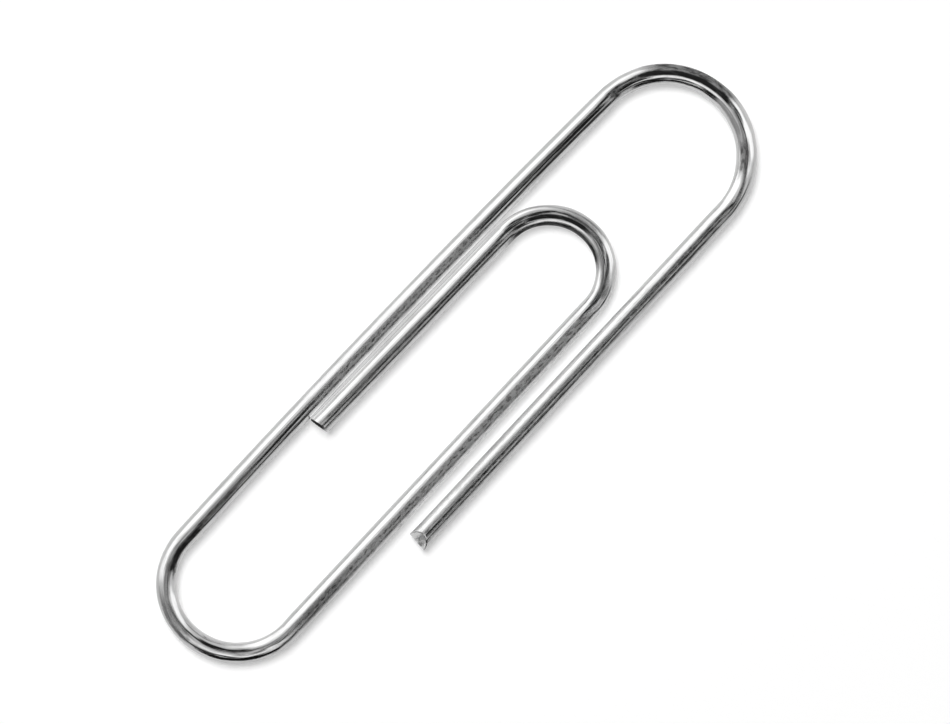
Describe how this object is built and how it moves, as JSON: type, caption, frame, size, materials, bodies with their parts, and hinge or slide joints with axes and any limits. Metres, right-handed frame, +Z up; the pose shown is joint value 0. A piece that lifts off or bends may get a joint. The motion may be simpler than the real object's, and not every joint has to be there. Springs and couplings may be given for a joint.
{
  "type": "paper clip",
  "caption": "Paper clip of bent round plated steel wire, an inner loop nested in an outer loop; its bends twist like springs so the inner loop lifts to take and grip paper.",
  "frame": {"origin": "under the middle of the clip's outline, on the surface that the clip lies on", "axes": "+X along the clip towards the wide head bend, +Y across it towards the long leg, +Z up"},
  "size_m": [0.032, 0.008, 0.0009],
  "materials": {
    "plated_wire": "bright plated drawn steel wire, faint lengthwise drawing lines and light tool marks"
  },
  "bodies": {
    "outer_arm": {"outer_leg": "plated_wire", "head_bend_outer_half": "plated_wire"},
    "long_arm": {"long_leg": "plated_wire", "head_bend_long_half": "plated_wire", "tail_bend_long_half": "plated_wire"},
    "inner_arm": {"inner_leg": "plated_wire", "tail_bend_inner_half": "plated_wire", "inner_bend_inner_half": "plated_wire"},
    "tongue": {"tongue_leg": "plated_wire", "inner_bend_tongue_half": "plated_wire"}
  },
  "joints": [
    {"name": "tail_bend_twist", "type": "hinge", "parent": "long_arm", "child": "inner_arm", "pos_m": [-0.01555, 0.00067, 0.00045], "axis": [0, -1, 0], "range_deg": [0, 10], "stiffness_Nm_per_rad": 0.24},
    {"name": "head_bend_twist", "type": "hinge", "parent": "long_arm", "child": "outer_arm", "pos_m": [0.01555, 0.00005, 0.00045], "axis": [0, 1, 0], "range_deg": [0, 10], "stiffness_Nm_per_rad": 0.23},
    {"name": "inner_bend_twist", "type": "hinge", "parent": "inner_arm", "child": "tongue", "pos_m": [0.0078, 0.00014, 0.00045], "axis": [0, 1, 0], "range_deg": [0, 8], "stiffness_Nm_per_rad": 0.32}
  ]
}
